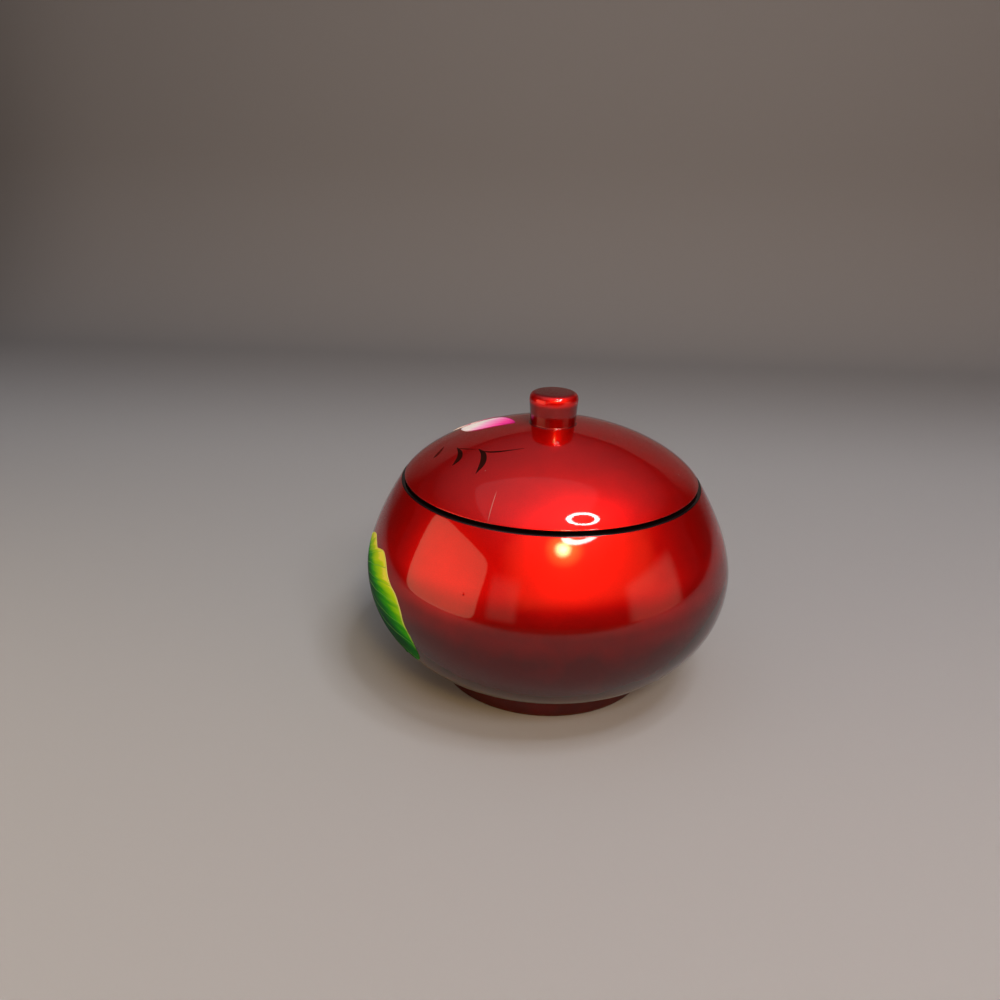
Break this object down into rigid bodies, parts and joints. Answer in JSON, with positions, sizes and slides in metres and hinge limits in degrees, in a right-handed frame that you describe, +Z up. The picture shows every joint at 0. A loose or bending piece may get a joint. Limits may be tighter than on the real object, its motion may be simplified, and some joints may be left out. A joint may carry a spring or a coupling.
{
  "type": "lidded lacquer bowl",
  "caption": "Round closed-in lacquered wooden bowl on a low foot ring, with a domed lid that lifts off an upstanding mouth ring by a drum knob.",
  "frame": {"origin": "middle of the foot ring's resting face, on the table", "axes": "+Z up along the axis of the bowl; -Y towards the viewer of the reference view, +X to that viewer's right"},
  "size_m": [0.16, 0.16, 0.1297],
  "materials": {
    "red_lacquer_body": "turned wood under translucent red lacquer over a metallic ground, with a mirror-gloss clear coat",
    "red_lacquer_foot": "the same red lacquer, clear-coated",
    "black_lacquer_ring": "gloss black lacquer",
    "red_lacquer_lid": "the same red lacquer, mirror-gloss clear coat, black lacquer inside",
    "red_lacquer_knob": "the same red lacquer, mirror-gloss clear coat"
  },
  "bodies": {
    "bowl": {"bowl_shell": "red_lacquer_body", "foot_ring": "red_lacquer_foot", "mouth_ring": "black_lacquer_ring"},
    "lid": {"lid_shell": "red_lacquer_lid", "knob": "red_lacquer_knob"}
  },
  "joints": [
    {"name": "lid_lift", "type": "slide", "parent": "bowl", "child": "lid", "axis": [0, 0, 1], "range_m": [0, 0.12]}
  ]
}
